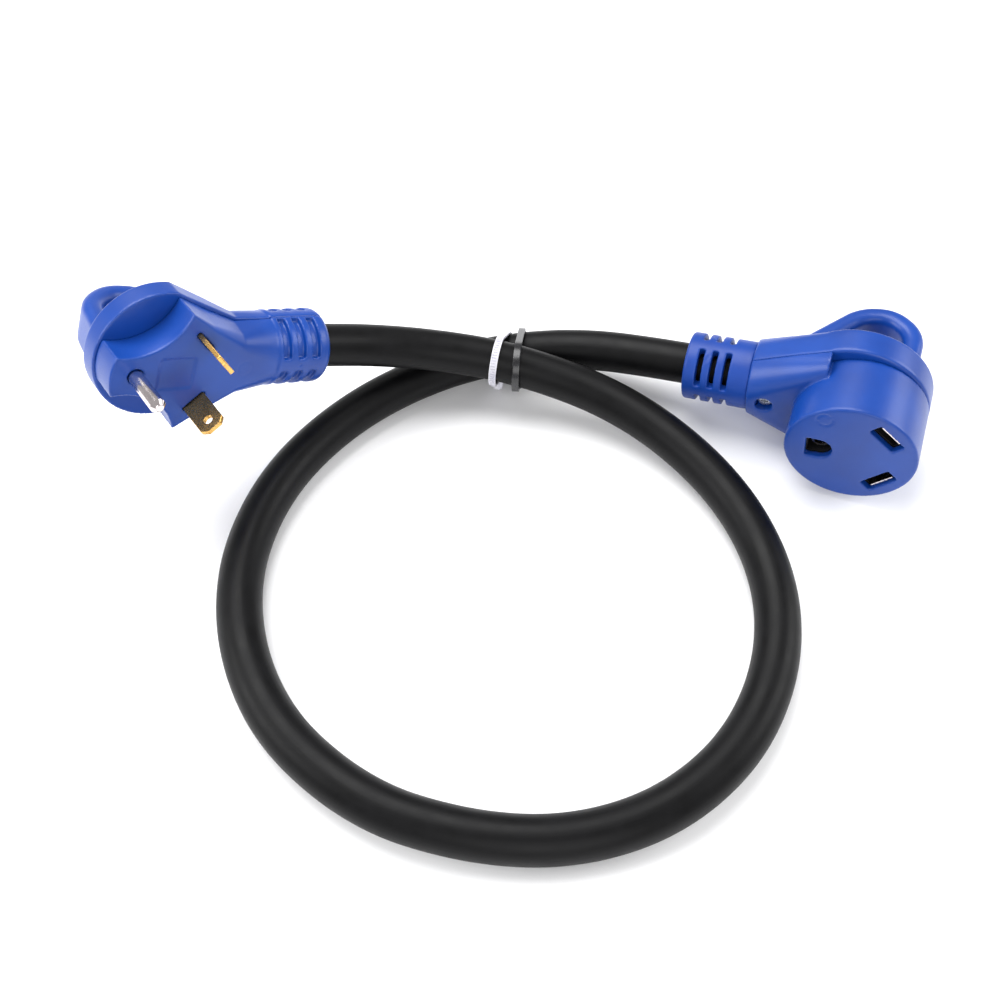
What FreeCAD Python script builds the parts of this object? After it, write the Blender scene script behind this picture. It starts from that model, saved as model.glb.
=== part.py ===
import FreeCAD, Part
import math
import os

# A 30 A recreational-vehicle shore power cord: a three-pin plug and a three-hole connector,
# both with a rigid pull handle, on the two ends of a short thick cord. The cord is coiled into
# one ring on the ground, and two cable ties hold it where it crosses over itself.
#
# Millimetres. The row frame stands on the ground, with +Z up and +X from the plug to the
# connector. Each head is modelled in its own frame: x towards the cord, z out of the contact
# face, and the origin at the centre of that face.

V = FreeCAD.Vector
os.makedirs("parts", exist_ok=True)

# ---- the cord ----
cord_radius = 8.1
cord_bore = 8.5
relief_bore = 9.1

# ---- the three-pin interface that the plug and the connector share ----
pin_x = 14.6
blade_x = 8.6
blade_y = 11.9
blade_width = 9.2
blade_thickness = 1.6
blade_length = 16.5
pin_radius = 2.65
pin_length = 18.9

# ---- the plug ----
plug_place = (V(-117.6, -22.4, 70.8), 33.05, 26.1, 83.9)
plug_disc_radius = 24.2
plug_seam = -12.2
plug_axis = -13.8
plug_neck_radius = 13.3
plug_back = -20.9
plug_shoulder = (2.4, 22.7)
plug_nose = (-22.1, 7.5)
plug_nose_tip = -23.4
plug_collar_radius = 13.8
plug_collar_start = 40.0
plug_collar_end = 61.8
plug_jacket_end = 31.5

# ---- the connector ----
connector_place = (V(119.6, -22.2, 27.0), 159.7, 6.8, -91.8)
face_radius = 24.2
plate_radius = 27.5
plate_x = 3.2
connector_seam = -25.5
connector_back = -37.3
connector_axis = -30.2
neck_end = 42.3
neck_radius = 14.3
relief_radius = 13.2
relief_end = 68.0
connector_jacket_end = 31.0
connector_wall = 2.6

# ---- the pull handles: middle lines as (x, height behind the plate) ----
handle_breadth = 17.0
handle_thickness = 7.6
handle_edge = 3.3
plug_handle = [(-18.2, -1.2), (-15.8, 16.5), (-6.5, 24.3), (5.0, 22.5), (23.0, -1.2)]
connector_handle = [(-13.4, -1.2), (-13.4, 22.5), (-3.5, 30.5), (8.0, 28.5), (33.0, -1.2)]

# ---- fasteners and conductors ----
wire_radius = 2.0
wire_spread = 3.9
screw_radius = 1.5
screw_head_radius = 2.7
screw_head_height = 1.8
thread_gap = 0.05

# ---- the cable ties at the crossing ----
cord_steps = 1600
tie_reach = 9.0
tie_thickness = 1.0
tie_width = 2.8
tie_head = 4.6
tie_head_height = 3.0
tie_head_drop = 4.0
tie_tail = 4.0
white_tie = (-6.1, V(0.975, -0.215, -0.03))
black_tie = (0.2, V(0.995, -0.1, 0.0))

# The cord's route from inside the connector, once round the ring, to inside the plug.
route = [
    V(101.0, 16.8, 24.3),
    V(61.9, 32.4, 19.3),
    V(19.4, 46.8, 12.4),
    V(-24.6, 41.8, 9.4),
    V(-66.1, 17.3, 8.2),
    V(-95.1, -21.2, 8.2),
    V(-104.3, -68.7, 8.2),
    V(-89.1, -116.2, 8.2),
    V(-55.1, -147.7, 8.2),
    V(-18.6, -159.6, 8.2),
    V(15.4, -161.0, 8.2),
    V(47.9, -149.8, 8.2),
    V(74.2, -125.5, 8.2),
    V(89.0, -91.0, 8.2),
    V(89.0, -54.4, 8.4),
    V(73.4, -17.7, 9.8),
    V(41.4, 14.3, 13.4),
    V(-0.6, 30.1, 19.8),
    V(-38.6, 32.3, 26.6),
    V(-74.4, 22.1, 39.6),
    V(-101.9, 4.2, 55.6),
]


def disc(radius, low, high, x=0.0, y=0.0):
    """An upright round bar between two heights."""
    return Part.makeCylinder(radius, high - low, V(x, y, low))


def rod(radius, start, end, z, y=0.0):
    """A round bar along x."""
    return Part.makeCylinder(radius, end - start, V(start, y, z), V(1, 0, 0))


def block(x_range, y_range, z_range):
    size = [high - low for low, high in (x_range, y_range, z_range)]
    return Part.makeBox(*size, V(x_range[0], y_range[0], z_range[0]))


def prism(points, low, high):
    """A flat outline of corners, or of (x, y, mid x, mid y) arcs to the next corner, made solid."""
    corners = [V(p[0], p[1], low) for p in points]
    edges = []
    for i, point in enumerate(points):
        start, end = corners[i], corners[(i + 1) % len(points)]
        if len(point) == 4:
            edges.append(Part.Arc(start, V(point[2], point[3], low), end).toShape())
        else:
            edges.append(Part.LineSegment(start, end).toShape())
    return Part.Face(Part.Wire(edges)).extrude(V(0, 0, high - low))


def mirrored(points):
    """The outline closed by its own mirror image across y = 0."""
    return points + [(x, -y) for x, y in reversed(points)]


def section(x, low_half, high_half, low, high, low_round, high_round):
    """A trapezoid across x with its four corners rounded off."""
    corners = [
        (V(x, low_half, low), low_round),
        (V(x, high_half, high), high_round),
        (V(x, -high_half, high), high_round),
        (V(x, -low_half, low), low_round),
    ]
    arcs = []
    for i, (corner, reach) in enumerate(corners):
        back = (corners[i - 1][0] - corner).normalize()
        ahead = (corners[(i + 1) % 4][0] - corner).normalize()
        half = back.getAngle(ahead) / 2
        middle = corner + (back + ahead).normalize() * (reach * (1 - math.sin(half)) / math.cos(half))
        arcs.append((corner + back * reach, middle, corner + ahead * reach))
    edges = []
    for i, (first, middle, last) in enumerate(arcs):
        edges.append(Part.Arc(first, middle, last).toShape())
        edges.append(Part.LineSegment(last, arcs[(i + 1) % 4][0]).toShape())
    return Part.Wire(edges)


def round_section(x, radius, axis):
    """Nearly a circle, with the corners and sides that a loft from a trapezoid needs."""
    reach = radius - 0.3
    return (x, radius, radius, axis - radius, axis + radius, reach, reach)


def loft(*sections):
    return Part.makeLoft([section(*s) for s in sections], True, True)


def rounded(shape, radius, picked):
    """The shape with the edges that `picked` accepts rounded off."""
    return shape.makeFillet(radius, [e for e in shape.Edges if picked(e)])


def at_height(z):
    return lambda edge: all(abs(v.Z - z) < 1e-6 for v in edge.Vertexes)


def tangent_path(points):
    """Straight runs joined by arcs, each as large as its two runs allow, and the arcs' radii."""
    edges, radii = [], []
    start = points[0]
    for before, corner, after in zip(points, points[1:], points[2:]):
        back, ahead = before - corner, after - corner
        turn = math.pi - back.getAngle(ahead)
        reach = 0.45 * min(back.Length, ahead.Length)
        back, ahead = back.normalize(), ahead.normalize()
        radius = reach / math.tan(turn / 2)
        middle = corner + (back + ahead).normalize() * (radius / math.cos(turn / 2) - radius)
        edges.append(Part.LineSegment(start, corner + back * reach).toShape())
        edges.append(Part.Arc(corner + back * reach, middle, corner + ahead * reach).toShape())
        start = corner + ahead * reach
        radii.append(radius)
    edges.append(Part.LineSegment(start, points[-1]).toShape())
    return Part.Wire(edges), radii


def tube(points, radius):
    """A solid round tube along the points, with the path's length and its arcs' radii."""
    path, radii = tangent_path(points)
    ring = Part.Wire(Part.makeCircle(radius, points[0], points[1] - points[0]))
    return path.makePipeShell([ring], True, False), path.Length, radii


def screw(x, y, head_top, length, point_up=True, radius=screw_radius, head=screw_head_radius,
          head_height=screw_head_height):
    """A pan-head screw along z with a cross recess. Its point is up or down."""
    body = Part.makeCylinder(head, head_height, V(0, 0, 0))
    body = rounded(body, 0.4, at_height(0.0))
    body = body.fuse(Part.makeCylinder(radius, length, V(0, 0, head_height - 0.2)))
    for angle in (0, 90):
        slot = Part.makeBox(head * 1.1, 0.6, 0.8, V(-head * 0.55, -0.3, -0.1))
        slot.rotate(V(), V(0, 0, 1), angle)
        body = body.cut(slot)
    if not point_up:
        body.rotate(V(), V(1, 0, 0), 180)
    body.translate(V(x, y, head_top))
    return body


def handle(points, breadth, thickness, edge_round, back):
    """The pull handle: a flat bar with rounded edges, bent into an arch in the x-z plane.
    The points are its middle line, with z counted from the plate's back."""
    middle = [V(x, 0, back - z) for x, z in points]
    path, _ = tangent_path(middle)
    half = breadth / 2
    bar = section(0, half, half, -thickness / 2, thickness / 2, edge_round, edge_round)
    first = middle[1] - middle[0]
    bar.rotate(V(), V(0, 1, 0), math.degrees(math.atan2(-first.z, first.x)))
    bar.translate(middle[0])
    return path.makePipeShell([bar], True, False)


def blade_outline(width, thickness):
    """Corners of an upright blade across x, before it is turned to its angle."""
    return [
        (-width / 2, -thickness / 2),
        (width / 2, -thickness / 2),
        (width / 2, thickness / 2),
        (-width / 2, thickness / 2),
    ]


def turned(shape, angle, x, y):
    """The shape turned about z through the origin, then moved to x, y."""
    shape = shape.copy()
    shape.rotate(V(), V(0, 0, 1), angle)
    shape.translate(V(x, y, 0))
    return shape


def placed(shape, place):
    origin, yaw, pitch, roll = place
    shape = shape.copy()
    turn = FreeCAD.Placement(origin, FreeCAD.Rotation(yaw, pitch, roll))
    shape.transformShape(turn.toMatrix())
    return shape


def collar_grooves(radius, depth, starts, width, axis, band=11.0):
    """Rectangular grooves round a collar, in four quadrants with plain bands between them."""
    cutters = []
    for start in starts:
        for quadrant in range(4):
            angle = quadrant * 90 + band
            ring = Part.makeCylinder(
                radius + 2, width, V(start, 0, axis), V(1, 0, 0), 90 - 2 * band
            )
            core = rod(radius - depth, start - 1, start + width + 1, axis)
            ring.rotate(V(start, 0, axis), V(1, 0, 0), angle)
            cutters.append(ring.cut(core))
    return Part.Compound(cutters)


def jacket_cores(end, axis):
    """Where the three insulated wires leave the jacket: centre points across x."""
    points = []
    for angle in (90, 210, 330):
        a = math.radians(angle)
        points.append(V(end, wire_spread * math.cos(a), axis + wire_spread * math.sin(a)))
    return points


nodes = {}

# ---------------------------------------------------------------- plug
plug_face = 2.8
carrier_outline = mirrored([(-18.9, 5.2), (-9.0, 5.5), (-1.9, 10.9), (3.4, 17.8), (13.0, 12.8)])
plug_floor = plug_back + 2.6
plug_centre_boss = (-2.0, 0.0)
ground_terminal_angle = 25.0
pin_shank_radius = 2.4
plug_neck_screws = [(19.0, 11.2), (19.0, -11.2)]
plug_clamp_at = (33.0, 39.0)
plug_clamp_screw_y = 10.6


def plug_openings(clearance, low, high):
    """The two blades' slots and the pin's hole, as one tool."""
    width, thickness = blade_width + 2 * clearance, blade_thickness + 2 * clearance
    tools = [disc(pin_radius + clearance, low, high, -pin_x)]
    for side in (1, -1):
        slot = prism(blade_outline(width, thickness), low, high)
        tools.append(turned(slot, -45 * side, blade_x, side * blade_y))
    return Part.Compound(tools)


def plug_collar():
    collar = rod(plug_collar_radius, plug_collar_start - 0.5, plug_collar_end, plug_axis)
    return rounded(collar, 3.0, lambda e: all(v.X > plug_collar_end - 0.1 for v in e.Vertexes))


def plug_grooves():
    starts = [plug_collar_start + 1.3 + i * 6.0 for i in range(3)]
    return collar_grooves(plug_collar_radius, 1.8, starts, 3.1, plug_axis)


def plug_front_shell():
    x, y = plug_shoulder
    nose_x, nose_y = plug_nose
    grip = prism(
        [
            (x, y, -8.1, 9.7),
            (nose_x, nose_y, plug_nose_tip, 0),
            (nose_x, -nose_y, -8.1, -9.7),
            (x, -y),
            (x + 3, -y + 3),
            (x + 3, y - 3),
        ],
        plug_seam,
        0,
    )
    neck = loft(
        (x, y, y, -22, 0, 0.3, 0.5),
        (11.4, 19.4, 17.2, -22, 0, 0.3, 1.6),
        (24.7, 14.6, 11.2, -24, -0.2, 2, 4.5),
        round_section(plug_collar_start, plug_neck_radius, plug_axis),
    )
    solid = grip.fuse([neck, plug_collar()]).removeSplitter()
    solid = solid.cut(block((-30, 70), (-30, 30), (-40, plug_seam)))
    face = -plug_face
    tools = [
        prism(carrier_outline, plug_seam, face).cut(
            disc(3.4, plug_seam, face, *plug_centre_boss)
        ),
        prism(mirrored([(12.5, 12.0), (14.5, 8.6), (32.8, 8.6)]), plug_seam, -4.4),
        rod(cord_bore, plug_jacket_end - 0.5, plug_collar_end + 1, plug_axis),
        rod(cord_bore + 0.6, plug_collar_end - 10, plug_collar_end + 1, plug_axis),
        rod(10.6, plug_clamp_at[0] - 0.3, plug_clamp_at[1] + 0.3, plug_axis),
        block(
            (plug_clamp_at[0] - 0.3, plug_clamp_at[1] + 0.3),
            (-12.2, 12.2),
            (plug_seam, plug_seam + 2.8),
        ),
        plug_openings(0.1, face - 1, 1),
        plug_grooves(),
        block((-6.6, 6.4), (-6.2, 6.2), (-0.4, 1)),
        disc(3.3, -0.35, 1, 25.9, 0).cut(disc(2.5, -1, 1, 25.9, 0)),
        disc(0.6, plug_axis + plug_collar_radius - 0.5, 5, 48.6, 0),
    ]
    for at in [plug_centre_boss] + plug_neck_screws:
        tools.append(disc(screw_radius + thread_gap, plug_seam - 1, plug_seam + 6.5, *at))
    return solid.cut(tools)


def plug_back_cover():
    plate = disc(plug_disc_radius, plug_back, plug_seam)
    sides = mirrored([(-25.0, 25.5), (-0.8, 25.5), (30.0, 11.0)])
    plate = plate.common(prism(sides, plug_back, plug_seam))
    plate = rounded(plate, 1.2, at_height(plug_back))
    neck = loft(
        (5.5, 22.5, 22.5, plug_back, 0, 1.0, 0.3),
        (26.0, 13.6, 13.6, plug_back - 2.6, 0, 8, 0.6),
        round_section(plug_collar_start, plug_neck_radius, plug_axis),
    )
    arch = handle(plug_handle, handle_breadth, handle_thickness, handle_edge, plug_back)
    solid = plate.fuse([neck, plug_collar()]).removeSplitter()
    solid = solid.cut(block((-30, 70), (-30, 30), (plug_seam, 30)))
    bosses = [disc(3.4, plug_floor, plug_seam, *plug_centre_boss)]
    bosses += [disc(2.8, plug_floor, plug_seam, *at) for at in plug_neck_screws]
    neck_room = mirrored([(6.0, 18.4), (15.0, 14.6), (24.0, 9.6), (32.0, 8.6)])
    hollow = prism(carrier_outline, plug_floor, plug_seam)
    hollow = hollow.fuse(prism(neck_room, plug_floor, plug_seam))
    tools = [
        hollow.cut(bosses),
        rod(cord_bore, plug_jacket_end - 0.5, plug_collar_end + 1, plug_axis),
        rod(cord_bore + 0.6, plug_collar_end - 10, plug_collar_end + 1, plug_axis),
        plug_grooves(),
    ]
    for at in [plug_centre_boss] + plug_neck_screws:
        tools.append(disc(screw_radius + 0.2, plug_back - 5, plug_seam + 1, *at))
        tools.append(disc(screw_head_radius + 0.2, plug_back - 5, plug_back + 1.9, *at))
    for side in (1, -1):
        at = (sum(plug_clamp_at) / 2, side * plug_clamp_screw_y)
        tools.append(disc(1.1 + thread_gap, plug_seam - 5.0, plug_seam + 1, *at))
    return solid.fuse(arch).cut(tools).removeSplitter()


def terminal(x, y, low, high, angle):
    """A brass terminal block, bored along its own x for the bare wire and from below for the screw."""
    body = block((-2.5, 2.5), (-2.5, 2.5), (low, high))
    body = body.cut(rod(1.4, -1.2, 3.0, (low + high) / 2 + 0.3))
    body = body.cut(disc(1.15, low - 1, (low + high) / 2 - 0.9))
    return turned(body, angle, x, y)


def terminal_screw(x, y, low):
    return screw(x, y, low - 1.25, 1.4, True, 1.1, 1.7, 1.2)


def plug_blade(side):
    tip = prism(blade_outline(blade_width, blade_thickness), -plug_face - 6, blade_length)
    corner = 2.0
    for end in (1, -1):
        bevel = block((-corner, corner), (-3, 3), (-corner, corner))
        bevel.rotate(V(), V(0, 1, 0), 45)
        bevel.translate(V(end * (blade_width / 2 + 0.4), 0, blade_length + 0.4))
        tip = tip.cut(bevel)
    hole = Part.makeCylinder(1.55, 6, V(0, -3, blade_length - 4.6), V(0, 1, 0))
    foot = block((-4.8, 4.8), (-1.5, 1.5), (-8.0, -6.0))
    tail = block((-2.2, 2.2), (-0.8, 0.8), (plug_seam - 0.2, -7.0))
    body = turned(tip.cut(hole).fuse([foot, tail]), -45 * side, blade_x, side * blade_y)
    clamp = terminal(blade_x, side * blade_y, plug_seam - 4.6, plug_seam - 0.1, -45 * side)
    return body.fuse(clamp).removeSplitter()


def plug_ground_pin():
    pin = disc(pin_radius, 0.5, pin_length - 1.6, -pin_x)
    shank = disc(pin_shank_radius, -8, 1, -pin_x)
    tip = Part.makeCone(pin_radius, pin_radius - 1.3, 1.6, V(-pin_x, 0, pin_length - 1.6))
    tip = rounded(tip, 0.6, at_height(pin_length))
    foot = disc(4.0, -8.0, -6.0, -pin_x)
    tail = disc(1.8, plug_seam - 0.2, -7.5, -pin_x)
    clamp = terminal(-pin_x, 0, plug_seam - 4.6, plug_seam - 0.1, ground_terminal_angle)
    return pin.fuse([shank, tip, foot, tail, clamp]).removeSplitter()


def plug_contact_carrier():
    inset = 0.985
    body = prism([(x * inset, y * inset) for x, y in carrier_outline], plug_seam + 0.3, -2.9)
    tools = [disc(3.6, -20, 0, *plug_centre_boss)]
    tools += [plug_blade(1), plug_blade(-1), plug_ground_pin()]
    return body.cut(tools)


def cord_clamp(start, end, inner, outer, ear_y):
    """A saddle over the cord's front half, with an ear each side on the seam for its screws."""
    saddle = rod(outer, start, end, plug_axis).fuse(
        block((start, end), (-ear_y, ear_y), (plug_seam, plug_seam + 1.6))
    )
    saddle = saddle.cut(rod(inner, start - 1, end + 1, plug_axis))
    saddle = saddle.cut(block((start - 1, end + 1), (-30, 30), (-60, plug_seam)))
    for side in (1, -1):
        hole = disc(1.2, -20, 0, (start + end) / 2, side * plug_clamp_screw_y)
        saddle = saddle.cut(hole)
    return saddle.removeSplitter()


def wire(points):
    """An insulated conductor with its bare end in the terminal."""
    cover, _, _ = tube(points, wire_radius - 0.1)
    along = (points[-1] - points[-2]).normalize()
    bare = Part.makeCylinder(1.3, 3.4, points[-1] - along * 0.5, along)
    return cover.fuse(bare)


def plug_nodes():
    level = plug_seam - 2.05
    cores = jacket_cores(plug_jacket_end - 0.2, plug_axis)
    lift = 2.5 * math.sqrt(0.5)
    turn = math.radians(ground_terminal_angle)

    def pole(side, core):
        return wire([
            core,
            V(26.0, core.y, core.z),
            V(19.0, side * 3.95, level),
            V(13.6, side * (blade_y - 5.0), level),
            V(blade_x + lift, side * (blade_y - lift), level),
        ])

    ground = wire([
        cores[0],
        V(26.0, 0, plug_axis + 3.6),
        V(17.5, 0, level),
        V(8.0, 2.0, level),
        V(-1.8, 6.4, level),
        V(8.0 * math.cos(turn) - pin_x, 8.0 * math.sin(turn), level),
        V(2.6 * math.cos(turn) - pin_x, 2.6 * math.sin(turn), level),
    ])
    cover_screws = [
        screw(*at, plug_back + 0.1, 13.0) for at in [plug_centre_boss] + plug_neck_screws
    ]
    clamp_x = sum(plug_clamp_at) / 2
    clamp_screws = [
        screw(clamp_x, side * plug_clamp_screw_y, plug_seam + 2.7, 6.0, False, 1.1, 1.4, 1.1)
        for side in (1, -1)
    ]
    blocks = [(blade_x, blade_y), (blade_x, -blade_y), (-pin_x, 0)]
    return {
        "plug_front_shell": plug_front_shell(),
        "plug_back_cover": plug_back_cover(),
        "plug_contact_carrier": plug_contact_carrier(),
        "plug_hot_blade": plug_blade(1),
        "plug_neutral_blade": plug_blade(-1),
        "plug_ground_pin": plug_ground_pin(),
        "plug_hot_wire": pole(1, cores[2]),
        "plug_neutral_wire": pole(-1, cores[1]),
        "plug_ground_wire": ground,
        "plug_terminal_screws": Part.Compound(
            [terminal_screw(x, y, plug_seam - 4.6) for x, y in blocks]
        ),
        "plug_cord_clamp": cord_clamp(*plug_clamp_at, cord_radius + 0.05, 9.7, 12.0),
        "plug_clamp_screws": Part.Compound(clamp_screws),
        "plug_cover_screws": Part.Compound(cover_screws),
    }


# ----------------------------------------------------------- connector
hole_x = pin_x - plate_x
slot_x = -blade_x - plate_x
slot_length = 12.8
slot_width = 5.3
hole_half_width = 4.9
connector_floor = connector_back + 2.7
connector_deck = -22.0
connector_screws = [(2.0, 18.4), (2.0, -18.4), (27.0, 15.0), (27.0, -15.0)]
set_screw_x = 35.4


def plate_outline():
    """The teardrop plate: a round end, and straight sides down to the neck."""
    tilt = math.atan2(neck_radius, neck_end - plate_x)
    away = math.hypot(neck_radius, neck_end - plate_x)
    angle = tilt + math.acos(plate_radius / away)
    x = plate_x + plate_radius * math.cos(angle)
    y = plate_radius * math.sin(angle)
    return x, y


def connector_openings(clearance, low, high):
    """The two slots and the D-shaped hole, as one tool."""
    half = hole_half_width + clearance
    flat = hole_x + hole_half_width - 0.1 + clearance
    tools = [
        disc(half, low, high, hole_x).common(block((-20, hole_x), (-20, 20), (low, high))),
        block((hole_x, flat), (-half, half), (low, high)),
    ]
    for side in (1, -1):
        slot = blade_outline(slot_length + 2 * clearance, slot_width + 2 * clearance)
        tools.append(turned(prism(slot, low, high), 45 * side, slot_x, side * blade_y))
    return Part.Compound(tools)


def connector_body():
    """The neck's outer form, front and back together."""
    x, y = plate_outline()
    return loft(
        (x, y, y, connector_back + 0.5, -16.8, 1.5, 6),
        round_section(neck_end, neck_radius, connector_axis),
    )


def relief_room():
    """The room in both shells for the strain relief's inner end."""
    return rod(11.8, 38.2, neck_end + 1, connector_axis).fuse(
        rod(12.9, 38.2, 40.7, connector_axis)
    )


def connector_front_shell():
    barrel = disc(face_radius, connector_seam, 0)
    barrel = rounded(barrel, 0.8, at_height(0))
    solid = barrel.fuse(connector_body()).removeSplitter()
    solid = solid.cut(block((-40, 70), (-40, 40), (-60, connector_seam)))
    bosses = [disc(3.0, connector_seam, -3, *at) for at in connector_screws[:2]]
    axis = connector_axis
    tools = [
        disc(face_radius - connector_wall, connector_seam, -3).cut(bosses),
        prism(mirrored([(10, 15), (22, 10), (31, 8.6)]), connector_seam, connector_deck + 0.5),
        rod(cord_bore, connector_jacket_end - 1, neck_end + 1, axis),
        relief_room(),
        block((30.7, 37.9), (-6.3, 6.3), (-24, -20.7)),
        disc(3.3, -19.9, 0, set_screw_x),
        disc(1.6 + thread_gap, -21, 0, set_screw_x),
        connector_openings(0, -4, 1),
        disc(3.2, -0.35, 1, 10.5, -16.5).cut(disc(2.4, -1, 2, 10.5, -16.5)),
    ]
    for at in connector_screws:
        tools.append(disc(screw_radius + thread_gap, connector_seam - 1, connector_seam + 6.5, *at))
    return solid.cut(tools)


def connector_back_cover():
    plate = disc(plate_radius, connector_back, connector_seam, plate_x)
    plate = rounded(plate, 1.2, lambda e: True)
    arch = handle(connector_handle, handle_breadth, handle_thickness, handle_edge, connector_back)
    solid = plate.fuse(connector_body()).removeSplitter()
    solid = solid.cut(block((-40, 70), (-40, 40), (connector_seam, 10)))
    axis = connector_axis
    bosses = [disc(3.0, connector_floor, connector_seam, *at) for at in connector_screws]
    hollow = disc(face_radius - connector_wall, connector_floor, connector_seam)
    hollow = hollow.fuse(
        prism(mirrored([(14, 20), (31, 11)]), connector_floor, connector_seam)
    )
    tools = [
        hollow.cut(bosses),
        rod(cord_bore, connector_jacket_end - 1, neck_end + 1, axis),
        relief_room(),
    ]
    for at in connector_screws:
        tools.append(disc(screw_radius + 0.2, connector_back - 9, connector_seam + 1, *at))
        tools.append(disc(screw_head_radius + 0.2, connector_back - 9, connector_back + 2.0, *at))
    return solid.fuse(arch).cut(tools).removeSplitter()


def connector_contact(side):
    """A sprung sheet contact: a long leaf beside the slot's inner edge and a short one opposite."""
    near = block((-4.8, 4.8), (-2.3, -1.4), (-16.5, -1.4))
    far = block((-4.6, 4.6), (0.9, 1.5), (-16.5, -8.0))
    base = block((-4.8, 4.8), (-2.3, 1.5), (-17.3, -16.3))
    tail = block((-2.2, 2.2), (-0.8, 0.8), (connector_seam - 0.5, -17.0))
    sheet = turned(near.fuse([far, base, tail]), 45 * side + (180 if side > 0 else 0), 0, 0)
    sheet.translate(V(slot_x, side * blade_y, 0))
    low = connector_seam - 5.2
    clamp = terminal(slot_x, side * blade_y, low, connector_seam - 0.3, 0)
    return sheet.fuse(clamp).removeSplitter()


def connector_ground_contact():
    """A slit sleeve that grips the ground pin."""
    sleeve = disc(3.4, -16.5, -5, hole_x).cut(disc(2.75, -20, 0, hole_x))
    sleeve = sleeve.cut(block((hole_x - 4, hole_x), (-0.5, 0.5), (-15, 0)))
    base = disc(3.4, -17.3, -16.3, hole_x)
    tail = disc(1.8, connector_seam - 0.5, -17.0, hole_x)
    clamp = terminal(hole_x, 0, connector_seam - 5.2, connector_seam - 0.3, 0)
    return sleeve.fuse([base, tail, clamp]).removeSplitter()


def connector_contact_carrier():
    body = disc(face_radius - connector_wall - 0.2, connector_deck, -3.1)
    tools = [disc(3.2, -40, 0, *at) for at in connector_screws[:2]]
    tools.append(connector_openings(-0.4, -16.2, 0))
    tools += [connector_contact(1), connector_contact(-1)]
    tools.append(disc(3.5, -17.5, -4, hole_x))
    tools.append(disc(1.9, -30, -16, hole_x))
    return body.cut(tools)


def connector_strain_relief():
    axis = connector_axis
    sleeve = rod(relief_radius, neck_end, relief_end, axis)
    sleeve = rounded(sleeve, 1.0, lambda e: all(v.X > relief_end - 0.1 for v in e.Vertexes))
    inner = rod(11.6, 38.4, neck_end + 0.5, axis)
    flange = rod(12.7, 38.4, 40.5, axis)
    starts = [relief_end - 7.2 - i * 5.2 for i in range(3)]
    slots = collar_grooves(relief_radius, 5.2, starts, 2.2, axis, 11.0)
    return sleeve.fuse([inner, flange]).cut([rod(relief_bore, 30, 80, axis), slots]).removeSplitter()


def connector_nodes():
    axis = connector_axis
    level = connector_seam - 2.45
    cores = jacket_cores(connector_jacket_end - 0.2, axis)

    def pole(side, core):
        return wire([
            core,
            V(26.0, core.y, core.z + 0.3),
            V(17.0, side * 7.4, level),
            V(2.0, side * blade_y, level),
            V(slot_x + 2.6, side * blade_y, level),
        ])

    ground = wire([
        cores[0],
        V(25.5, 0, cores[0].z - 0.3),
        V(20.0, 0, level),
        V(hole_x + 2.6, 0, level),
    ])
    saddle = block((31.0, 37.6), (-6.0, 6.0), (-22.05, -20.85))
    set_screw = screw(set_screw_x, 0, -18.5, 1.1, False, 1.6, 2.6, 1.4)
    blocks = [(slot_x, blade_y), (slot_x, -blade_y), (hole_x, 0)]
    return {
        "connector_front_shell": connector_front_shell(),
        "connector_back_cover": connector_back_cover(),
        "connector_contact_carrier": connector_contact_carrier(),
        "connector_hot_contact": connector_contact(1),
        "connector_neutral_contact": connector_contact(-1),
        "connector_ground_contact": connector_ground_contact(),
        "connector_hot_wire": pole(1, cores[2]),
        "connector_neutral_wire": pole(-1, cores[1]),
        "connector_ground_wire": ground,
        "connector_terminal_screws": Part.Compound(
            [terminal_screw(x, y, connector_seam - 5.2) for x, y in blocks]
        ),
        "connector_cord_clamp": saddle,
        "connector_clamp_screw": set_screw,
        "connector_strain_relief": connector_strain_relief(),
        "connector_cover_screws": Part.Compound(
            [screw(*at, connector_back + 0.2, 13.5) for at in connector_screws]
        ),
    }


# ------------------------------------------------------- cord and ties
def cord_passes(path, x):
    """Where the cord crosses over itself at x: its lower and its upper centre point."""
    near = [p for p in path.discretize(cord_steps) if abs(p.x - x) < 0.6 and p.y > 0]
    near.sort(key=lambda p: p.z)
    return near[0], near[-1]


def cable_tie(path, x, across):
    """A strap in a flat loop round both cords, and its square head on the side by the ground."""
    lower, upper = cord_passes(path, x)
    across = across.normalize()
    lean = (upper - lower).normalize()
    side = lean.cross(across).normalize()
    lean = across.cross(side)
    upper = lower + lean * lean.dot(upper - lower)
    loops = []
    for reach in (tie_reach, tie_reach + tie_thickness):
        a, b = lower - side * reach, upper - side * reach
        c, d = upper + side * reach, lower + side * reach
        loops.append(Part.Wire([
            Part.LineSegment(a, b).toShape(),
            Part.Arc(b, upper + lean * reach, c).toShape(),
            Part.LineSegment(c, d).toShape(),
            Part.Arc(d, lower - lean * reach, a).toShape(),
        ]))
    along = across * tie_width
    strap = Part.Face(loops[1]).extrude(along).cut(Part.Face(loops[0]).extrude(along))
    strap.translate(along * -0.5)
    head = Part.makeBox(tie_head, tie_head, tie_head_height, V(-tie_head / 2, -tie_head / 2, 0))
    tail = Part.makeBox(tie_width, 1.1, tie_tail, V(-tie_width / 2, -0.55, 0))
    head = head.fuse(tail)
    turn = FreeCAD.Rotation(across, lean, side * -1, "ZXY")
    foot = (lower + upper) * 0.5 - lean * tie_head_drop
    place = FreeCAD.Placement(foot - side * (tie_reach + tie_thickness - 0.3), turn)
    head.transformShape(place.toMatrix())
    return strap.fuse(head).removeSplitter()


for name, shape in plug_nodes().items():
    nodes[name] = placed(shape, plug_place)
for name, shape in connector_nodes().items():
    nodes[name] = placed(shape, connector_place)

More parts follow.
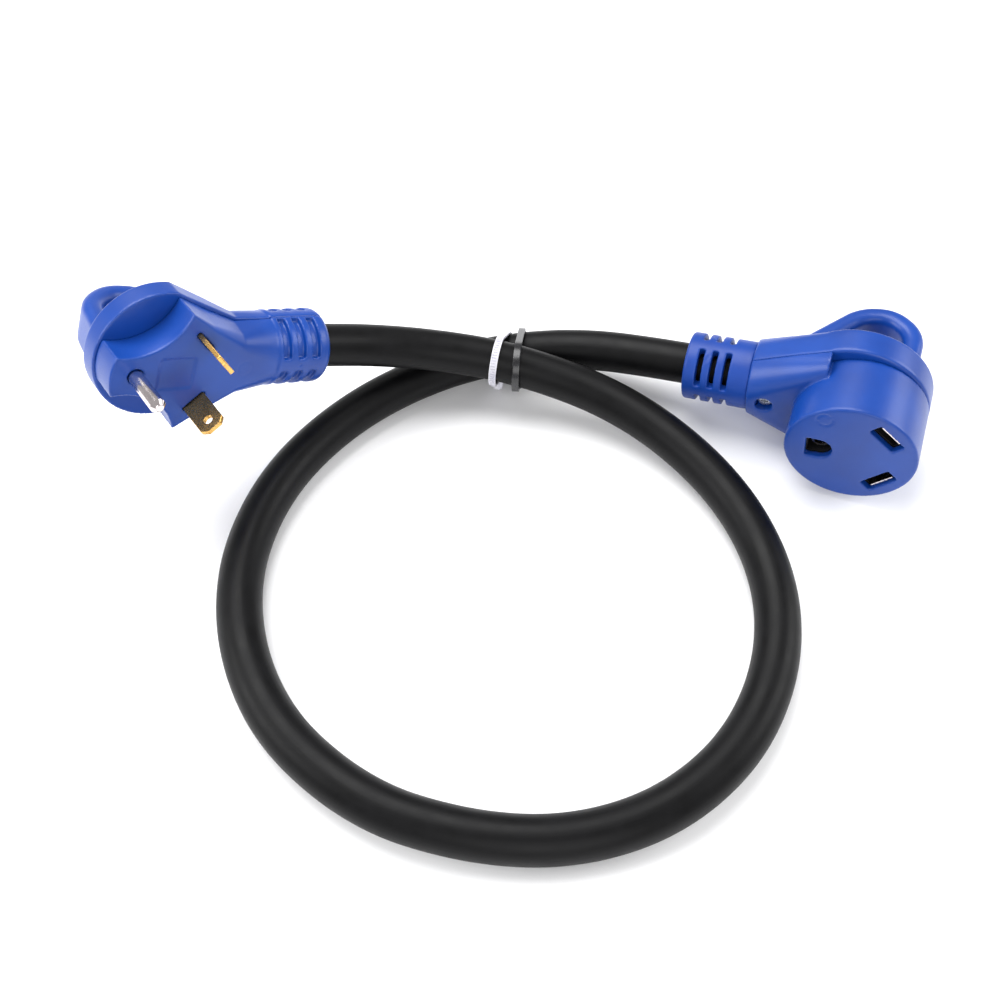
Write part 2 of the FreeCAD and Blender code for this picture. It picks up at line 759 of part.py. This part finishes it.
cord, cord_length, cord_radii = tube(route, cord_radius)
nodes["cord_jacket"] = cord
cord_path, _ = tangent_path(route)
nodes["white_cable_tie"] = cable_tie(cord_path, *white_tie)
nodes["black_cable_tie"] = cable_tie(cord_path, *black_tie)
print("cord length", round(cord_length, 1), "volume ratio",
      round(cord.Volume / (math.pi * cord_radius ** 2 * cord_length), 4))
print("cord radii", [round(r) for r in cord_radii])

if __name__ == "__main__":
    for name, shape in nodes.items():
        shape.exportStep("parts/" + name + ".step")
        if not shape.isValid():
            print("invalid", name)
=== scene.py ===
import math
import bmesh
import bpy
from mathutils import Matrix, Vector


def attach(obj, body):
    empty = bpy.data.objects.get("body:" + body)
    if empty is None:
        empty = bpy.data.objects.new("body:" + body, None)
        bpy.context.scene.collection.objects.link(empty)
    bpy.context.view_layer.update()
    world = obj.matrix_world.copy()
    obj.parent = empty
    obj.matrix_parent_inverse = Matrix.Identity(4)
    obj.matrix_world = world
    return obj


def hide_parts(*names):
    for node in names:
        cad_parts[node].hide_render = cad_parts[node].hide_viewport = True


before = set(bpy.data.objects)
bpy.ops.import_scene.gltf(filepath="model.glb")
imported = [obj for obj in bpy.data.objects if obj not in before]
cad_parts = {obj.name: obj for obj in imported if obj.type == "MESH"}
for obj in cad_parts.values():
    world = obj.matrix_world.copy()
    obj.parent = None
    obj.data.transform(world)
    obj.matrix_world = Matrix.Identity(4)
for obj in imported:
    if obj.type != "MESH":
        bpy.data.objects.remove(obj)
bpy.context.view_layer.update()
scene = bpy.context.scene
body = "root"
mm = 0.001


def linear(hexCode):  # "#RRGGBB" as a screen shows it, to the linear colour that shaders work in
    parts = [int(hexCode[i:i + 2], 16) / 255 for i in (1, 3, 5)]
    return tuple(c / 12.92 if c <= 0.04045 else ((c + 0.055) / 1.055) ** 2.4 for c in parts) + (1.0,)


def addNode(tree, kind, sockets=None, **settings):  # one node with its settings, values and links
    node = tree.nodes.new(kind)
    for name, value in settings.items():
        setattr(node, name, value)
    for name, value in (sockets or {}).items():
        if isinstance(value, bpy.types.NodeSocket):
            tree.links.new(value, node.inputs[name])
        else:
            node.inputs[name].default_value = value
    return node


def place(name, data, material=None):
    piece = bpy.data.objects.new(name, data)
    scene.collection.objects.link(piece)
    if material:
        data.materials.append(material)
    return piece


def toMesh(piece, name):  # the piece with its modifiers applied, as a plain mesh
    graph = bpy.context.evaluated_depsgraph_get()
    graph.update()
    mesh = bpy.data.meshes.new_from_object(piece.evaluated_get(graph), depsgraph=graph)
    mesh.name = name
    return mesh


# camera

camera = {"lens": 42.84, "sensor": 36, "tilt": 36.5, "placeMm": (-8.6, -295.2, 368.2)}

cameraData = bpy.data.cameras.new("camera")
cameraData.lens = camera["lens"]
cameraData.sensor_width = camera["sensor"]
cameraData.clip_start = 0.01
cameraObject = bpy.data.objects.new("camera", cameraData)
cameraObject.location = Vector(camera["placeMm"]) * mm
cameraObject.rotation_euler = (math.radians(camera["tilt"]), 0, 0)
scene.collection.objects.link(cameraObject)
scene.camera = cameraObject
scene.view_settings.view_transform = "Standard"
print("camera set")


# cord: one stiff round cable, from inside the connector, once round, over itself and into the plug

cord = {
    "diameterMm": 16.2,
    "lengthMm": 826,
    "exitMm": (90.7, 21.1, 23.1),
    "routeMm": [
        (101.0, 16.8, 24.3), (61.9, 32.4, 19.3), (19.4, 46.8, 12.4), (-24.6, 41.8, 9.4),
        (-66.1, 17.3, 8.2), (-95.1, -21.2, 8.2), (-104.3, -68.7, 8.2), (-89.1, -116.2, 8.2),
        (-55.1, -147.7, 8.2), (-18.6, -159.6, 8.2), (15.4, -161.0, 8.2), (47.9, -149.8, 8.2),
        (74.2, -125.5, 8.2), (89.0, -91.0, 8.2), (89.0, -54.4, 8.4), (73.4, -17.7, 9.8),
        (41.4, 14.3, 13.4), (-0.6, 30.1, 19.8), (-38.6, 32.3, 26.6), (-74.4, 22.1, 39.6),
        (-101.9, 4.2, 55.6),
    ],
}

cordCurve = bpy.data.curves.new("cord", "CURVE")
cordCurve.dimensions = "3D"
spline = cordCurve.splines.new("NURBS")
spline.points.add(len(cord["routeMm"]) - 1)
for point, at in zip(spline.points, cord["routeMm"]):
    point.co = (at[0] * mm, at[1] * mm, at[2] * mm, 1)
spline.order_u = 3
spline.use_endpoint_u = True
cordCurve.resolution_u = 24
cordPiece = place("cord", cordCurve)
cordLine = [v.co.copy() for v in toMesh(cordPiece, "cordLine").vertices]
cordCurve.bevel_depth = cord["diameterMm"] / 2 * mm
cordCurve.bevel_resolution = 14
cordCurve.use_fill_caps = True
print("cord laid")


# floor and studio light

studio = {
    "floorMm": 6000, "floorColour": "#F6F6F7", "worldColour": "#FFFFFF", "worldStrength": 0.5,
    "lights": {
        "overheadSoftbox": {"place": (-0.25, 0.35, 0.95), "aim": (0.0, 0.0, 0.0), "size": 0.9, "watts": 13},
        "leftSoftbox": {"place": (-0.95, -0.15, 0.55), "aim": (-0.05, 0.0, 0.03), "size": 0.6, "watts": 6},
        "rightSoftbox": {"place": (0.85, 0.10, 0.50), "aim": (0.08, 0.0, 0.02), "size": 0.6, "watts": 5},
        "frontFill": {"place": (0.10, -0.95, 0.60), "aim": (0.0, -0.02, 0.03), "size": 0.8, "watts": 5},
    },
}

world = bpy.data.worlds.new("studio")
world.use_nodes = True
background = next(n for n in world.node_tree.nodes if n.type == "BACKGROUND")
background.inputs["Color"].default_value = linear(studio["worldColour"])
background.inputs["Strength"].default_value = studio["worldStrength"]
scene.world = world
for name, light in studio["lights"].items():
    data = bpy.data.lights.new(name, "AREA")
    data.shape = "DISK"
    data.size = light["size"]
    data.energy = light["watts"]
    lamp = bpy.data.objects.new(name, data)
    lamp.location = light["place"]
    aim = Vector(light["aim"]) - Vector(light["place"])
    lamp.rotation_euler = aim.to_track_quat("-Z", "Y").to_euler()
    scene.collection.objects.link(lamp)

floorMaterial = bpy.data.materials.new("paperSweep")  # matt white paper, with the least tooth
floorMaterial.use_nodes = True
floorTree = floorMaterial.node_tree
floorShader = next(n for n in floorTree.nodes if n.type == "BSDF_PRINCIPLED")
floorShader.inputs["Base Color"].default_value = linear(studio["floorColour"])
floorShader.inputs["Roughness"].default_value = 0.9
floorShader.inputs["Specular IOR Level"].default_value = 0.15
paperCoords = addNode(floorTree, "ShaderNodeTexCoord")
tooth = addNode(floorTree, "ShaderNodeTexNoise", {"Vector": paperCoords.outputs["Object"], "Scale": 900.0})
toothBump = addNode(floorTree, "ShaderNodeBump", {"Height": tooth.outputs["Fac"], "Strength": 0.05})
floorTree.links.new(toothBump.outputs["Normal"], floorShader.inputs["Normal"])
reach = studio["floorMm"] / 2 * mm
floorMesh = bpy.data.meshes.new("floor")
floorMesh.from_pydata([(-reach, -reach, 0), (reach, -reach, 0), (reach, reach, 0), (-reach, reach, 0)],
                      [], [(0, 1, 2, 3)])
floor = place("floor", floorMesh, floorMaterial)
floor.location.z = -0.0002
print("studio ready")


# materials


def newFinish(name):  # an empty finish: its material, its tree, its shader and its Object coordinates
    material = bpy.data.materials.new(name)
    material.use_nodes = True
    tree = material.node_tree
    shader = next(n for n in tree.nodes if n.type == "BSDF_PRINCIPLED")
    coords = addNode(tree, "ShaderNodeTexCoord").outputs["Object"]
    return material, tree, shader, coords


def perMetre(millimetres):  # a texture scale for a pattern of that size
    return 1000.0 / millimetres


def mouldedPlastic(name, look):  # colour that drifts a little, mould grain, and a faint swirl in the gloss
    material, tree, shader, coords = newFinish(name)
    drift = addNode(tree, "ShaderNodeTexNoise", {
        "Vector": coords, "Scale": perMetre(look["driftMm"]), "Detail": 3.0, "Roughness": 0.55})
    tone = addNode(tree, "ShaderNodeValToRGB", {"Fac": drift.outputs["Fac"]})
    tone.color_ramp.elements[0].position = 0.32
    tone.color_ramp.elements[0].color = linear(look["dark"])
    tone.color_ramp.elements[1].position = 0.68
    tone.color_ramp.elements[1].color = linear(look["light"])
    tree.links.new(tone.outputs["Color"], shader.inputs["Base Color"])
    grain = addNode(tree, "ShaderNodeTexNoise", {
        "Vector": coords, "Scale": perMetre(look["grainMm"]), "Detail": 2.0, "Roughness": 0.6})
    swell = addNode(tree, "ShaderNodeTexNoise", {
        "Vector": coords, "Scale": perMetre(look["swellMm"]), "Detail": 1.0})
    swellBump = addNode(tree, "ShaderNodeBump", {
        "Height": swell.outputs["Fac"], "Strength": 1.0, "Distance": look["swellDepthMm"] * mm})
    grainBump = addNode(tree, "ShaderNodeBump", {
        "Height": grain.outputs["Fac"], "Strength": 1.0, "Distance": look["grainDepthMm"] * mm,
        "Normal": swellBump.outputs["Normal"]})
    tree.links.new(grainBump.outputs["Normal"], shader.inputs["Normal"])
    gloss = addNode(tree, "ShaderNodeMapRange", {
        "Value": grain.outputs["Fac"], "From Min": 0.3, "From Max": 0.7,
        "To Min": look["rough"] - look["roughSpread"], "To Max": look["rough"] + look["roughSpread"]})
    tree.links.new(gloss.outputs["Result"], shader.inputs["Roughness"])
    shader.inputs["IOR"].default_value = look["ior"]
    shader.inputs["Specular IOR Level"].default_value = look["specular"]
    shader.inputs["Coat Weight"].default_value = look["coat"]
    shader.inputs["Coat Roughness"].default_value = look["coatRough"]
    return material


# PVC moulded in a spark-eroded tool: satin, with a grain of about 0.2 mm that glitters in the highlights
# and a colour that drifts a little where the melt flowed. The grain is drawn at 0.35 mm so that it shows.
blueShell = mouldedPlastic("mouldedBluePvc", {
    "dark": "#083787", "light": "#0B3F95", "driftMm": 22, "grainMm": 0.35, "grainDepthMm": 0.012,
    "swellMm": 7, "swellDepthMm": 0.03, "rough": 0.36, "roughSpread": 0.06, "ior": 1.53,
    "specular": 0.36, "coat": 0.05, "coatRough": 0.22})
# the strain relief is a softer grade of the same PVC: a touch duller and more violet
blueRelief = mouldedPlastic("softBluePvc", {
    "dark": "#093688", "light": "#0C3D94", "driftMm": 16, "grainMm": 0.4, "grainDepthMm": 0.010,
    "swellMm": 5, "swellDepthMm": 0.02, "rough": 0.44, "roughSpread": 0.05, "ior": 1.52,
    "specular": 0.32, "coat": 0.05, "coatRough": 0.3})
# glass-filled nylon of the carriers: black, dry and slightly mottled
blackCarrier = mouldedPlastic("glassFilledNylon", {
    "dark": "#070708", "light": "#101012", "driftMm": 4, "grainMm": 0.3, "grainDepthMm": 0.015,
    "swellMm": 3, "swellDepthMm": 0.01, "rough": 0.55, "roughSpread": 0.1, "ior": 1.53,
    "specular": 0.4, "coat": 0.0, "coatRough": 0.3})
# natural nylon of the white tie: milky, with a soft gloss
whiteNylon = mouldedPlastic("naturalNylon", {
    "dark": "#C9C8D4", "light": "#DAD9E0", "driftMm": 3, "grainMm": 0.3, "grainDepthMm": 0.006,
    "swellMm": 2, "swellDepthMm": 0.01, "rough": 0.38, "roughSpread": 0.06, "ior": 1.53,
    "specular": 0.5, "coat": 0.1, "coatRough": 0.2})
# weatherproof black nylon of the second tie: glossier than the cord, so it shows as a bright line
blackNylon = mouldedPlastic("blackNylon", {
    "dark": "#0C0C0F", "light": "#15151A", "driftMm": 3, "grainMm": 0.3, "grainDepthMm": 0.004,
    "swellMm": 6, "swellDepthMm": 0.004, "rough": 0.28, "roughSpread": 0.05, "ior": 1.53,
    "specular": 0.5, "coat": 0.1, "coatRough": 0.12})
# thin-wall PVC on the three conductors, drawn through a die: smooth and evenly coloured
insulation = {
    colour: mouldedPlastic(colour + "Insulation", {
        "dark": dark, "light": light, "driftMm": 6, "grainMm": 0.5, "grainDepthMm": 0.004,
        "swellMm": 2.5, "swellDepthMm": 0.01, "rough": 0.34, "roughSpread": 0.04, "ior": 1.53,
        "specular": 0.5, "coat": 0.0, "coatRough": 0.2})
    for colour, dark, light in (("black", "#0B0B0C", "#121214"), ("white", "#D2D1CC", "#DEDDD9"),
                                ("green", "#137A35", "#1A8A3F"))}


def cordRubber(look):  # thermoset jacket: fine lines along its length from the die, and a dusty bloom
    material, tree, shader, coords = newFinish("thermosetJacket")
    along = addNode(tree, "ShaderNodeTexCoord").outputs["UV"]
    lines = addNode(tree, "ShaderNodeMapping", {"Vector": along, "Scale": look["lineScale"]})
    dieLines = addNode(tree, "ShaderNodeTexNoise", {
        "Vector": lines.outputs["Vector"], "Scale": 1.0, "Detail": 3.0, "Roughness": 0.6})
    bloom = addNode(tree, "ShaderNodeTexNoise", {
        "Vector": coords, "Scale": perMetre(look["bloomMm"]), "Detail": 4.0, "Roughness": 0.6})
    pits = addNode(tree, "ShaderNodeTexNoise", {
        "Vector": coords, "Scale": perMetre(look["pitMm"]), "Detail": 2.0})
    tone = addNode(tree, "ShaderNodeValToRGB", {"Fac": bloom.outputs["Fac"]})
    tone.color_ramp.elements[0].position = 0.35
    tone.color_ramp.elements[0].color = linear(look["dark"])
    tone.color_ramp.elements[1].position = 0.75
    tone.color_ramp.elements[1].color = linear(look["light"])
    tree.links.new(tone.outputs["Color"], shader.inputs["Base Color"])
    lineBump = addNode(tree, "ShaderNodeBump", {
        "Height": dieLines.outputs["Fac"], "Strength": 1.0, "Distance": look["lineDepthMm"] * mm})
    pitBump = addNode(tree, "ShaderNodeBump", {
        "Height": pits.outputs["Fac"], "Strength": 1.0, "Distance": look["pitDepthMm"] * mm,
        "Normal": lineBump.outputs["Normal"]})
    tree.links.new(pitBump.outputs["Normal"], shader.inputs["Normal"])
    gloss = addNode(tree, "ShaderNodeMapRange", {
        "Value": bloom.outputs["Fac"], "From Min": 0.3, "From Max": 0.75,
        "To Min": look["rough"], "To Max": look["rough"] + look["roughSpread"]})
    tree.links.new(gloss.outputs["Result"], shader.inputs["Roughness"])
    shader.inputs["IOR"].default_value = look["ior"]
    shader.inputs["Specular IOR Level"].default_value = look["specular"]
    return material


jacketRubber = cordRubber({
    "dark": "#050506", "light": "#0A0A0C", "bloomMm": 9, "pitMm": 0.6, "pitDepthMm": 0.012,
    "lineScale": (14, 46, 1), "lineDepthMm": 0.04, "rough": 0.40, "roughSpread": 0.12, "ior": 1.5,
    "specular": 0.16})
cordCurve.materials.append(jacketRubber)


def workedMetal(name, look):  # a metal with marks drawn out one way, uneven in gloss and faintly stained
    material, tree, shader, coords = newFinish(name)
    stretch = addNode(tree, "ShaderNodeMapping", {
        "Vector": coords, "Scale": [perMetre(size) for size in look["markMm"]]})
    marks = addNode(tree, "ShaderNodeTexNoise", {
        "Vector": stretch.outputs["Vector"], "Scale": 1.0, "Detail": 3.0, "Roughness": 0.6})
    stain = addNode(tree, "ShaderNodeTexNoise", {
        "Vector": coords, "Scale": perMetre(look["stainMm"]), "Detail": 3.0})
    tone = addNode(tree, "ShaderNodeValToRGB", {"Fac": stain.outputs["Fac"]})
    tone.color_ramp.elements[0].position = 0.3
    tone.color_ramp.elements[0].color = linear(look["dark"])
    tone.color_ramp.elements[1].position = 0.7
    tone.color_ramp.elements[1].color = linear(look["light"])
    tree.links.new(tone.outputs["Color"], shader.inputs["Base Color"])
    bump = addNode(tree, "ShaderNodeBump", {
        "Height": marks.outputs["Fac"], "Strength": 1.0, "Distance": look["markDepthMm"] * mm})
    tree.links.new(bump.outputs["Normal"], shader.inputs["Normal"])
    gloss = addNode(tree, "ShaderNodeMapRange", {
        "Value": marks.outputs["Fac"], "From Min": 0.3, "From Max": 0.7,
        "To Min": look["rough"] - look["roughSpread"], "To Max": look["rough"] + look["roughSpread"]})
    tree.links.new(gloss.outputs["Result"], shader.inputs["Roughness"])
    shader.inputs["Metallic"].default_value = 1.0
    return material


# stamped brass, tumbled after the press: yellow, soft-edged, with fine marks and a little tarnish
brass = workedMetal("stampedBrass", {
    "dark": "#C79A55", "light": "#DDB36C", "stainMm": 6, "markMm": (0.5, 0.5, 4), "markDepthMm": 0.002,
    "rough": 0.27, "roughSpread": 0.07})
# bright nickel over a turned pin: warm white, near mirror, with faint turning marks
nickel = workedMetal("brightNickel", {
    "dark": "#CFC6C6", "light": "#E6DEDD", "stainMm": 6, "markMm": (3, 3, 0.5), "markDepthMm": 0.003,
    "rough": 0.15, "roughSpread": 0.05})
# zinc-plated steel of the screws and clamps: grey-blue, slightly cloudy
zincSteel = workedMetal("zincPlatedSteel", {
    "dark": "#9A9DA3", "light": "#BFC3C9", "stainMm": 2, "markMm": (0.6, 0.6, 0.6), "markDepthMm": 0.005,
    "rough": 0.3, "roughSpread": 0.08})
print("materials made")


# CAD pieces that keep their shape and take a finish

finishes = {
    "plug_contact_carrier": blackCarrier, "connector_contact_carrier": blackCarrier,
    "plug_hot_wire": insulation["black"], "connector_hot_wire": insulation["black"],
    "plug_neutral_wire": insulation["white"], "connector_neutral_wire": insulation["white"],
    "plug_ground_wire": insulation["green"], "connector_ground_wire": insulation["green"],
    "connector_hot_contact": nickel, "connector_neutral_contact": nickel,
    "connector_ground_contact": nickel, "plug_ground_pin": nickel,
    "plug_terminal_screws": zincSteel, "plug_cord_clamp": zincSteel, "plug_clamp_screws": zincSteel,
    "plug_cover_screws": zincSteel, "connector_terminal_screws": zincSteel,
    "connector_cord_clamp": zincSteel, "connector_clamp_screw": zincSteel,
    "connector_cover_screws": zincSteel,
}
for node, finish in finishes.items():
    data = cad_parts[node].data
    data.materials.clear()
    data.materials.append(finish)


# shells with moulded edges: the CAD form as an even fine skin, softened a little as a mould leaves it

shells = {
    "plug_front_shell": {"piece": "plugFrontShell", "skinMm": 0.45, "finish": blueShell, "slot": "blue_shell"},
    "plug_back_cover": {"piece": "plugBackCover", "skinMm": 0.48, "finish": blueShell, "slot": "blue_shell"},
    "connector_front_shell": {
        "piece": "connectorFrontShell", "skinMm": 0.45, "finish": blueShell, "slot": "blue_shell"},
    "connector_back_cover": {
        "piece": "connectorBackCover", "skinMm": 0.5, "finish": blueShell, "slot": "blue_shell"},
    "connector_strain_relief": {
        "piece": "connectorStrainRelief", "skinMm": 0.4, "finish": blueRelief, "slot": "blue_collar"},
    "plug_hot_blade": {"piece": "plugHotBlade", "skinMm": 0.16, "finish": brass, "slot": "brass"},
    "plug_neutral_blade": {"piece": "plugNeutralBlade", "skinMm": 0.16, "finish": brass, "slot": "brass"},
}
skin = {"weldMm": 0.002, "soften": 0.5, "passes": 4}


def softShell(node, look):
    form = bmesh.new()
    form.from_mesh(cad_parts[node].data)
    bmesh.ops.remove_doubles(form, verts=form.verts, dist=skin["weldMm"] * mm)
    data = bpy.data.meshes.new(look["piece"] + "Form")
    form.to_mesh(data)
    form.free()
    rough = place(look["piece"] + "Form", data)
    even = rough.modifiers.new("evenSkin", "REMESH")
    even.mode = "VOXEL"
    even.voxel_size = look["skinMm"] * mm
    even.use_smooth_shade = True
    soft = rough.modifiers.new("soften", "SMOOTH")
    soft.factor = skin["soften"]
    soft.iterations = skin["passes"]
    mesh = toMesh(rough, look["piece"])
    bpy.data.objects.remove(rough)
    mesh.materials.clear()
    piece = place(look["piece"], mesh, look["finish"])
    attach(piece, body)
    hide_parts(node)
    print(look["piece"], len(mesh.polygons), "faces")


for node, look in shells.items():
    softShell(node, look)
print("shells made")


# ties: a strap in a flat loop round both passes of the cord, a square head beside it and a cut tail

ties = {
    "whiteTie": {
        "node": "white_cable_tie", "slot": "white_nylon", "finish": whiteNylon, "atMm": -6.1,
        "across": (0.975, -0.215, -0.03), "ribs": True,
    },
    "blackTie": {
        "node": "black_cable_tie", "slot": "black_nylon", "finish": blackNylon, "atMm": 0.2,
        "across": (0.995, -0.1, 0.0), "ribs": False,
    },
}
strap = {
    "reachMm": 9.0, "thickMm": 1.0, "widthMm": 2.8, "railMm": 0.45, "railDepthMm": 0.4,
    "ribPitchMm": 1.1, "ribMm": (0.5, 1.9, 0.4), "headMm": (4.6, 4.6, 3.0), "tailMm": (2.8, 1.1, 4.0),
    "headDropMm": 4.0, "headSinkMm": 0.3, "lipMm": 0.08, "edgeMm": 0.18, "edgeDegrees": 50,
    "sharpDegrees": 35, "searchMm": 1.2, "straightSteps": 8, "straightOverMm": 2,
    "arcSteps": 24,
}


def ribTree():  # small bars square to a path, at an even pitch, with their backs on the strap
    tree = bpy.data.node_groups.new("strapRibs", "GeometryNodeTree")
    face = tree.interface
    face.new_socket(name="Geometry", in_out="INPUT", socket_type="NodeSocketGeometry")
    face.new_socket(name="Pitch", in_out="INPUT", socket_type="NodeSocketFloat")
    face.new_socket(name="Rib size", in_out="INPUT", socket_type="NodeSocketVector")
    face.new_socket(name="Across", in_out="INPUT", socket_type="NodeSocketVector")
    face.new_socket(name="Finish", in_out="INPUT", socket_type="NodeSocketMaterial")
    face.new_socket(name="Geometry", in_out="OUTPUT", socket_type="NodeSocketGeometry")
    given = addNode(tree, "NodeGroupInput").outputs
    path = addNode(tree, "GeometryNodeMeshToCurve", {"Mesh": given["Geometry"]})
    stops = addNode(tree, "GeometryNodeResampleCurve", {
        "Curve": path.outputs["Curve"], "Length": given["Pitch"]}, mode="LENGTH")
    run = addNode(tree, "GeometryNodeInputTangent")
    turn = addNode(tree, "FunctionNodeAlignRotationToVector", {"Vector": run.outputs["Tangent"]}, axis="X")
    level = addNode(tree, "FunctionNodeAlignRotationToVector",
                    {"Rotation": turn.outputs["Rotation"], "Vector": given["Across"]}, axis="Y", pivot_axis="X")
    bar = addNode(tree, "GeometryNodeMeshCube", {"Size": given["Rib size"]})
    bars = addNode(tree, "GeometryNodeInstanceOnPoints", {
        "Points": stops.outputs["Curve"], "Instance": bar.outputs["Mesh"], "Rotation": level.outputs["Rotation"]})
    real = addNode(tree, "GeometryNodeRealizeInstances", {"Geometry": bars.outputs["Instances"]})
    dressed = addNode(tree, "GeometryNodeSetMaterial", {
        "Geometry": real.outputs["Geometry"], "Material": given["Finish"]})
    addNode(tree, "NodeGroupOutput", {"Geometry": dressed.outputs["Geometry"]})
    return tree


def setInput(modifier, name, value):
    for item in modifier.node_group.interface.items_tree:
        if item.item_type == "SOCKET" and item.in_out == "INPUT" and item.name == name:
            modifier[item.identifier] = value


ribNodes = ribTree()


def tieFrame(look):  # the middle of the loop, its direction across the strap, up the loop and to its side
    at = look["atMm"] * mm
    near = sorted([p for p in cordLine if abs(p.x - at) < strap["searchMm"] * mm and p.y > 0], key=lambda p: p.z)
    lower, upper = near[0], near[-1]
    across = Vector(look["across"]).normalized()
    side = (upper - lower).normalized().cross(across).normalized()
    lean = across.cross(side)
    upper = lower + lean * lean.dot(upper - lower)
    return lower, upper, across, lean, side


def loopPoints(lower, upper, lean, side, reach):  # the flat loop's line: two half circles and two straights
    steps = strap["arcSteps"]
    points = []
    for centre, start in ((upper, 0.0), (lower, math.pi)):
        for i in range(steps + 1):
            a = start + math.pi * i / steps
            points.append(centre - side * reach * math.cos(a) + lean * reach * math.sin(a))
    straight = strap["straightSteps"]
    whole = []
    for i, point in enumerate(points):
        whole.append(point)
        after = points[(i + 1) % len(points)]
        if (after - point).length > strap["straightOverMm"] * mm:
            whole += [point.lerp(after, k / straight) for k in range(1, straight)]
    return whole


def addBlock(form, size, middle, axes):
    turn = Matrix(axes).transposed().to_4x4()
    grow = Matrix.Diagonal((size[0] * mm, size[1] * mm, size[2] * mm, 1.0))
    made = bmesh.ops.create_cube(form, size=1.0, matrix=Matrix.Translation(middle) @ turn @ grow)
    bmesh.ops.recalc_face_normals(form, faces=list({f for v in made["verts"] for f in v.link_faces}))


def makeTie(name, look):
    lower, upper, across, lean, side = tieFrame(look)
    half = strap["widthMm"] / 2 * mm
    rail = strap["railMm"] * mm
    lip = strap["lipMm"] * mm
    inside, outside = strap["reachMm"] * mm, (strap["reachMm"] + strap["thickMm"]) * mm
    dip = outside - strap["railDepthMm"] * mm if look["ribs"] else outside
    profile = [(-half, inside), (half, inside), (half, outside), (half - rail, outside),
               (half - rail - lip, dip), (-half + rail + lip, dip), (-half + rail, outside),
               (-half, outside)]
    form = bmesh.new()
    rings = []
    for offset, reach in profile:
        line = loopPoints(lower, upper, lean, side, reach)
        rings.append([form.verts.new(p + across * offset) for p in line])
    count = len(rings[0])
    for i, ring in enumerate(rings):
        after = rings[(i + 1) % len(rings)]
        for k in range(count):
            form.faces.new((ring[k], ring[(k + 1) % count], after[(k + 1) % count], after[k]))
    bmesh.ops.recalc_face_normals(form, faces=form.faces)
    middle = (lower + upper) / 2 - lean * strap["headDropMm"] * mm
    middle -= side * (outside - strap["headSinkMm"] * mm)
    axes = (across, lean, side * -1)
    addBlock(form, strap["headMm"], middle - side * strap["headMm"][2] / 2 * mm, axes)
    addBlock(form, strap["tailMm"], middle - side * strap["tailMm"][2] / 2 * mm, axes)
    data = bpy.data.meshes.new(name + "Form")
    form.to_mesh(data)
    form.free()
    rough = place(name + "Form", data)
    roll = rough.modifiers.new("roll", "BEVEL")
    roll.width = strap["edgeMm"] * mm
    roll.segments = 2
    roll.limit_method = "ANGLE"
    roll.angle_limit = math.radians(strap["edgeDegrees"])
    mesh = toMesh(rough, name)
    bpy.data.objects.remove(rough)
    if look["ribs"]:
        line = loopPoints(lower, upper, lean, side, dip + strap["ribMm"][2] / 2 * mm)
        path = bpy.data.meshes.new(name + "Path")
        path.from_pydata(line, [(i, (i + 1) % len(line)) for i in range(len(line))], [])
        carrier = place(name + "Path", path)
        modifier = carrier.modifiers.new("ribs", "NODES")
        modifier.node_group = ribNodes
        setInput(modifier, "Pitch", strap["ribPitchMm"] * mm)
        setInput(modifier, "Rib size", [size * mm for size in strap["ribMm"]])
        setInput(modifier, "Across", across)
        setInput(modifier, "Finish", look["finish"])
        ribs = toMesh(carrier, name + "Ribs")
        bpy.data.objects.remove(carrier)
        joined = bmesh.new()
        joined.from_mesh(mesh)
        joined.from_mesh(ribs)
        joined.to_mesh(mesh)
        joined.free()
    mesh.materials.clear()
    piece = place(name, mesh, look["finish"])
    for polygon in mesh.polygons:
        polygon.use_smooth = True
        polygon.material_index = 0
    mesh.set_sharp_from_angle(angle=math.radians(strap["sharpDegrees"]))
    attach(piece, body)
    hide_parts(look["node"])
    return piece


tiePieces = [makeTie(name, look) for name, look in ties.items()]
print("ties fastened")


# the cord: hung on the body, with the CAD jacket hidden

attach(cordPiece, body)
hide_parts("cord_jacket")
